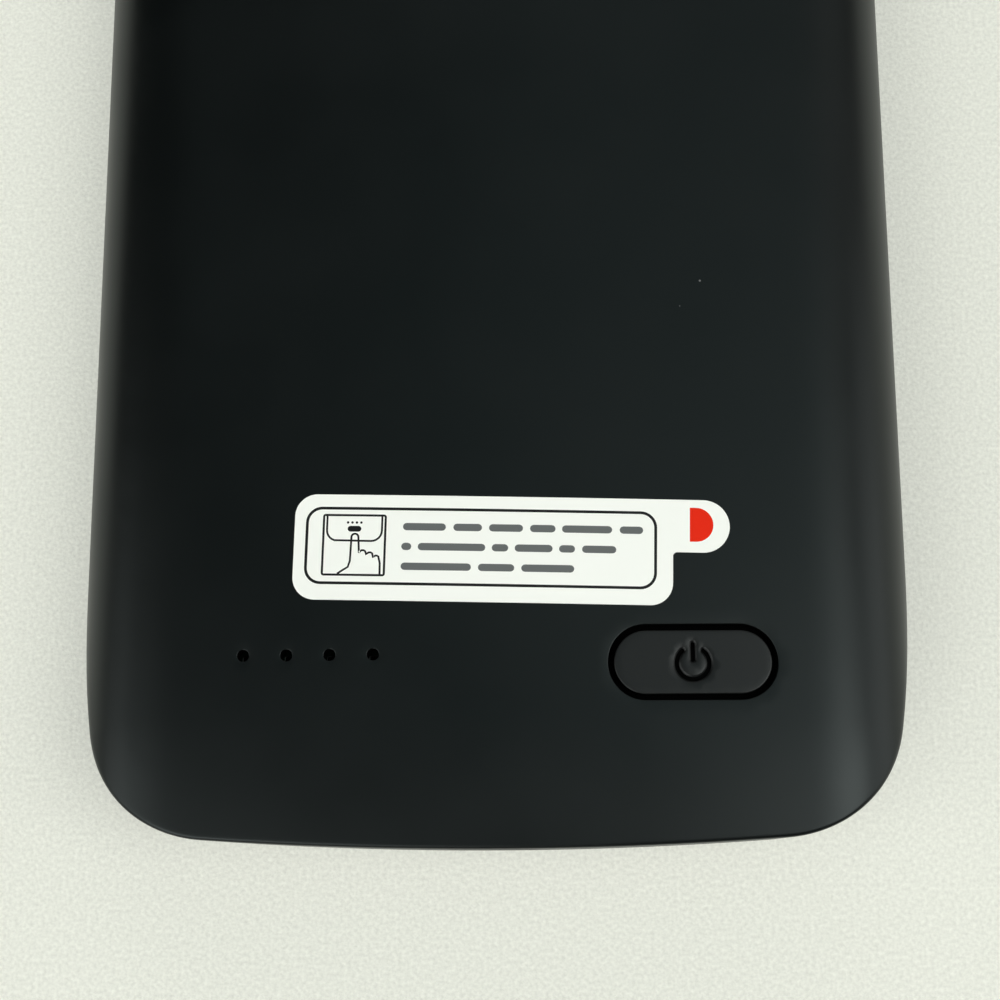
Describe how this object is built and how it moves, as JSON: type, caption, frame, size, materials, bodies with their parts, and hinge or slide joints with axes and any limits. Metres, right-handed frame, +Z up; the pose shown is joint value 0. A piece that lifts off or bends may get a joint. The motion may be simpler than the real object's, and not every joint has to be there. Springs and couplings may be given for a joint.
{
  "type": "battery charging case",
  "caption": "Black phone battery case with a crowned back, soft bumper, camera window, charging socket, phone plug, status lights and a flush power button.",
  "frame": {"origin": "under the middle of the case, on the plane that the front lip rests on", "axes": "+X across the case, +Y towards the camera end, +Z up out of the back, case lying face down"},
  "size_m": [0.0808, 0.1672, 0.0171],
  "materials": {
    "shell_soft_touch": "fine matte, soft-touch",
    "bumper_soft": "matte, soft",
    "tray_plastic": "fine matte",
    "button_plastic": "satin",
    "dark_plastic": "satin",
    "gasket_rubber": "matte",
    "board_green": "solder mask over glass fibre",
    "amber_film": "smooth film",
    "light_lens": "clear lens over a white base",
    "plated_steel": "plated",
    "gold_plate": "plated",
    "cell_foil": "matte pouch foil",
    "tape_white": "matte",
    "lead_red": "satin",
    "lead_black": "satin",
    "coil_ferrite": "fine grey",
    "capacitor_body": "tan body",
    "sticker_paper": "smooth white"
  },
  "bodies": {
    "case": {"back_shell": "shell_soft_touch", "inner_tray": "tray_plastic", "bumper": "bumper_soft", "switch_body": "dark_plastic", "main_board": "board_green", "insulating_sheet": "amber_film", "board_screws": "plated_steel", "status_lights": "light_lens", "light_gasket": "gasket_rubber", "socket_shell": "plated_steel", "socket_tongue": "dark_plastic", "socket_contacts": "gold_plate", "plug_shell": "plated_steel", "plug_insert": "dark_plastic", "plug_base": "dark_plastic", "plug_board": "board_green", "plug_ribbon": "amber_film", "battery_cell": "cell_foil", "cell_tape": "tape_white", "guard_board": "board_green", "cell_tabs": "plated_steel", "cell_lead_red": "lead_red", "cell_lead_black": "lead_black", "storage_coil": "coil_ferrite", "control_chips": "dark_plastic", "capacitors": "capacitor_body", "sticker": "sticker_paper"},
    "power_button": {"power_button": "button_plastic", "switch_plunger": "dark_plastic"}
  },
  "joints": [
    {"name": "power_button_press", "type": "slide", "parent": "case", "child": "power_button", "axis": [0, 0, -1], "range_m": [0, 0.0003], "stiffness_N_per_m": 4000}
  ]
}
